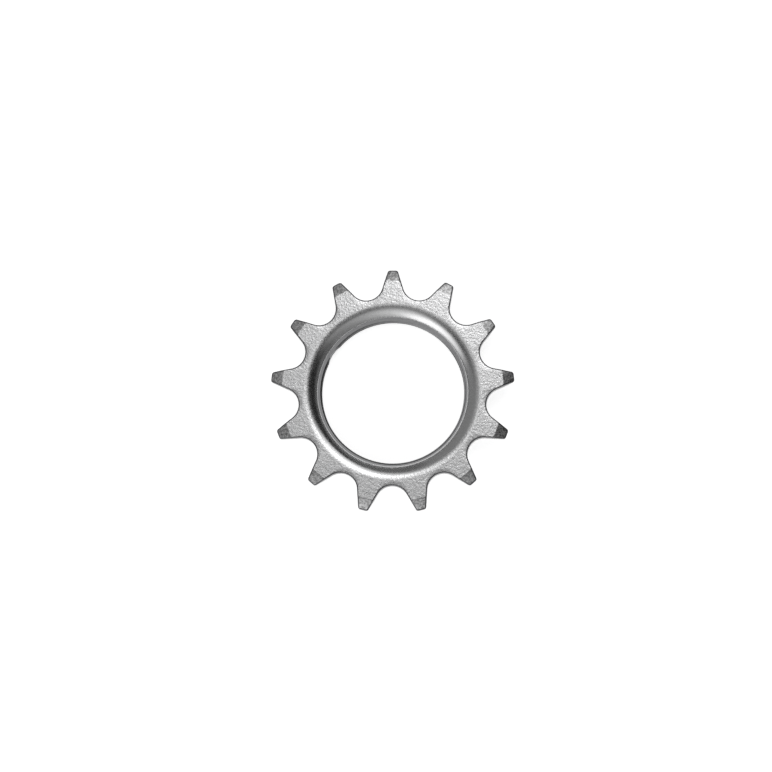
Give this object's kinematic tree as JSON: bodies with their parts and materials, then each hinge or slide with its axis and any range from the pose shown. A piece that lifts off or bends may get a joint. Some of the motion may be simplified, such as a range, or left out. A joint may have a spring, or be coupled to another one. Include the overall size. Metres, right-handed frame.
{
  "type": "single speed cog",
  "caption": "Flat steel chain cog with round-seated, bevelled teeth, a curved mouth and a threaded bore with a collar behind.",
  "frame": {"origin": "on the axis of the threaded bore, in the plane of the collar's rear face, which is what the cog lies on", "axes": "+Z along the bore from the collar towards the face with the curved mouth; +Y through the middle of one tooth"},
  "size_m": [0.058, 0.0576, 0.0068],
  "materials": {
    "plated_steel": "bright plated steel, finely pitted on the flat faces and turned smooth in the mouth"
  },
  "bodies": {
    "root": {"cog": "plated_steel"}
  },
  "joints": []
}
